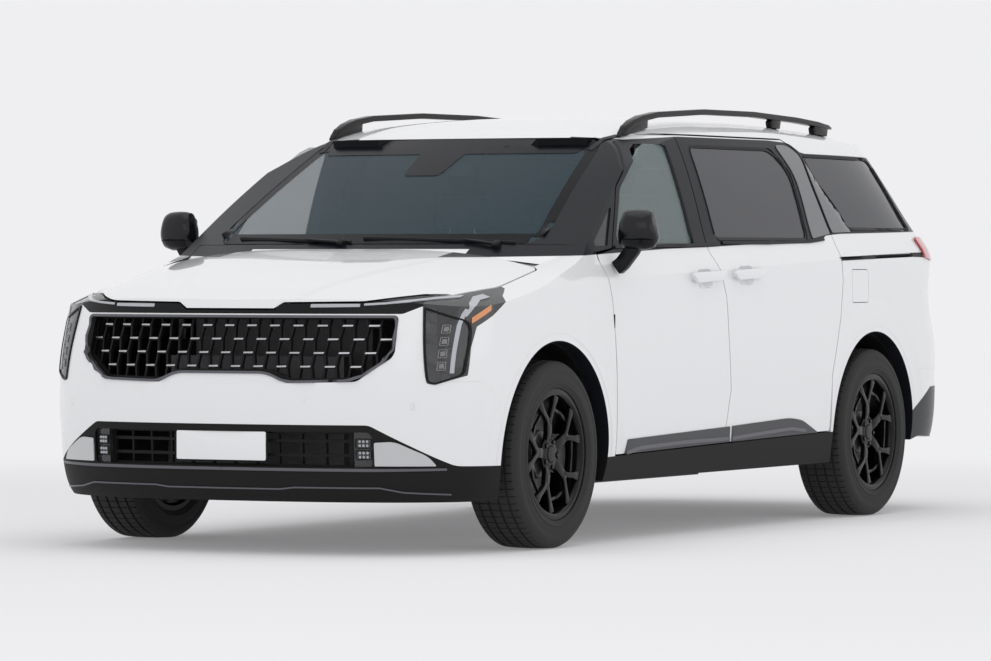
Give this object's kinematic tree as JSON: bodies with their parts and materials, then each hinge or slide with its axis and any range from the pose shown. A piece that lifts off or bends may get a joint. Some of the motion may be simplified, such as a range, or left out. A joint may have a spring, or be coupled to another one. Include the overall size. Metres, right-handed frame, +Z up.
{
  "type": "minivan",
  "caption": "Large white passenger minivan with front hinged doors, side sliding doors, lifting tailgate, hood and steered front wheels",
  "frame": {"origin": "on the ground at the middle of the overall length and width", "axes": "+X to the front, +Y to the vehicle's left, +Z up"},
  "size_m": [5.1479, 2.294, 1.7737],
  "materials": {
    "white_paint": "gloss white paint",
    "dark_trim": "satin dark plastic",
    "gloss_black": "gloss black",
    "tyre_rubber": "matte rubber",
    "wheel_black": "gloss black alloy",
    "window_glass": "light tinted glass",
    "dark_glass": "dark privacy glass",
    "lamp_clear": "clear lens over dark housing",
    "lamp_red": "red lens",
    "seat_cloth": "dark woven cloth",
    "bare_metal": "coated steel"
  },
  "bodies": {
    "body": {"arch_liners": "dark_trim", "b_pillars": "dark_trim", "bulkhead": "bare_metal", "bumper_lower": "dark_trim", "console": "dark_trim", "cowl": "dark_trim", "dashboard": "dark_trim", "engine": "bare_metal", "fenders": "white_paint", "floor_pan": "bare_metal", "fog_lamps": "lamp_clear", "front_bumper": "white_paint", "front_suspension": "bare_metal", "fuel_tank": "bare_metal", "grille": "gloss_black", "head_lamps": "lamp_clear", "head_restraints": "seat_cloth", "light_bar": "lamp_clear", "lower_grille": "dark_trim", "muffler": "bare_metal", "number_plate": "white_paint", "quarter_glass": "dark_glass", "quarter_panels": "white_paint", "radiator": "bare_metal", "rear_axle": "bare_metal", "rear_bumper": "white_paint", "rockers": "dark_trim", "roof_panel": "white_paint", "roof_rails": "dark_trim", "seat_backs": "seat_cloth", "seat_bases": "dark_trim", "seat_cushions": "seat_cloth", "side_frames": "dark_trim", "sliding_door_glass": "dark_glass", "sliding_doors": "white_paint", "steering_wheel": "dark_trim", "subframe": "bare_metal", "tail_lamps": "lamp_red", "windscreen": "window_glass"},
    "knuckle_left": {"knuckle_left": "bare_metal"},
    "knuckle_right": {"knuckle_right": "bare_metal"},
    "wheel_front_left": {"tyre_front_left": "tyre_rubber", "rim_front_left": "wheel_black"},
    "wheel_front_right": {"tyre_front_right": "tyre_rubber", "rim_front_right": "wheel_black"},
    "wheel_rear_left": {"tyre_rear_left": "tyre_rubber", "rim_rear_left": "wheel_black"},
    "wheel_rear_right": {"tyre_rear_right": "tyre_rubber", "rim_rear_right": "wheel_black"},
    "door_left": {"front_door_left": "white_paint", "front_door_glass_left": "window_glass", "mirror_left": "gloss_black"},
    "door_right": {"front_door_right": "white_paint", "front_door_glass_right": "window_glass", "mirror_right": "gloss_black"},
    "hood_lid": {"hood": "white_paint"},
    "tailgate_lid": {"tailgate": "white_paint", "tailgate_glass": "dark_glass"},
    "flap": {"fuel_flap": "white_paint"}
  },
  "joints": [
    {"name": "steer_left", "type": "hinge", "parent": "body", "child": "knuckle_left", "pos_m": [1.6425, 0.835, 0.3705], "axis": [0, 0, 1], "range_deg": [-35, 35]},
    {"name": "steer_right", "type": "hinge", "parent": "body", "child": "knuckle_right", "pos_m": [1.6425, -0.835, 0.3705], "axis": [0, 0, 1], "range_deg": [-35, 35]},
    {"name": "roll_front_left", "type": "hinge", "parent": "knuckle_left", "child": "wheel_front_left", "pos_m": [1.6425, 0.874, 0.3705], "axis": [0, 1, 0], "continuous": true},
    {"name": "roll_front_right", "type": "hinge", "parent": "knuckle_right", "child": "wheel_front_right", "pos_m": [1.6425, -0.874, 0.3705], "axis": [0, 1, 0], "continuous": true},
    {"name": "roll_rear_left", "type": "hinge", "parent": "body", "child": "wheel_rear_left", "pos_m": [-1.4475, 0.874, 0.3705], "axis": [0, 1, 0], "continuous": true},
    {"name": "roll_rear_right", "type": "hinge", "parent": "body", "child": "wheel_rear_right", "pos_m": [-1.4475, -0.874, 0.3705], "axis": [0, 1, 0], "continuous": true},
    {"name": "door_left_swing", "type": "hinge", "parent": "body", "child": "door_left", "pos_m": [1.0855, 0.9705, 0.8], "axis": [0, 0, -1], "range_deg": [0, 68]},
    {"name": "door_right_swing", "type": "hinge", "parent": "body", "child": "door_right", "pos_m": [1.0855, -0.9705, 0.8], "axis": [0, 0, 1], "range_deg": [0, 68]},
    {"name": "hood_lift", "type": "hinge", "parent": "body", "child": "hood_lid", "pos_m": [1.5605, 0, 1.112], "axis": [0, -1, 0], "range_deg": [0, 45]},
    {"name": "tailgate_lift", "type": "hinge", "parent": "body", "child": "tailgate_lid", "pos_m": [-1.985, 0, 1.66], "axis": [0, 1, 0], "range_deg": [0, 80]},
    {"name": "fuel_flap_swing", "type": "hinge", "parent": "body", "child": "flap", "pos_m": [-1.215, 0.9835, 1.019], "axis": [0, 0, -1], "range_deg": [0, 80]}
  ],
  "couplings": [
    {"joint": "steer_right", "follows": "steer_left", "ratio": 1}
  ]
}
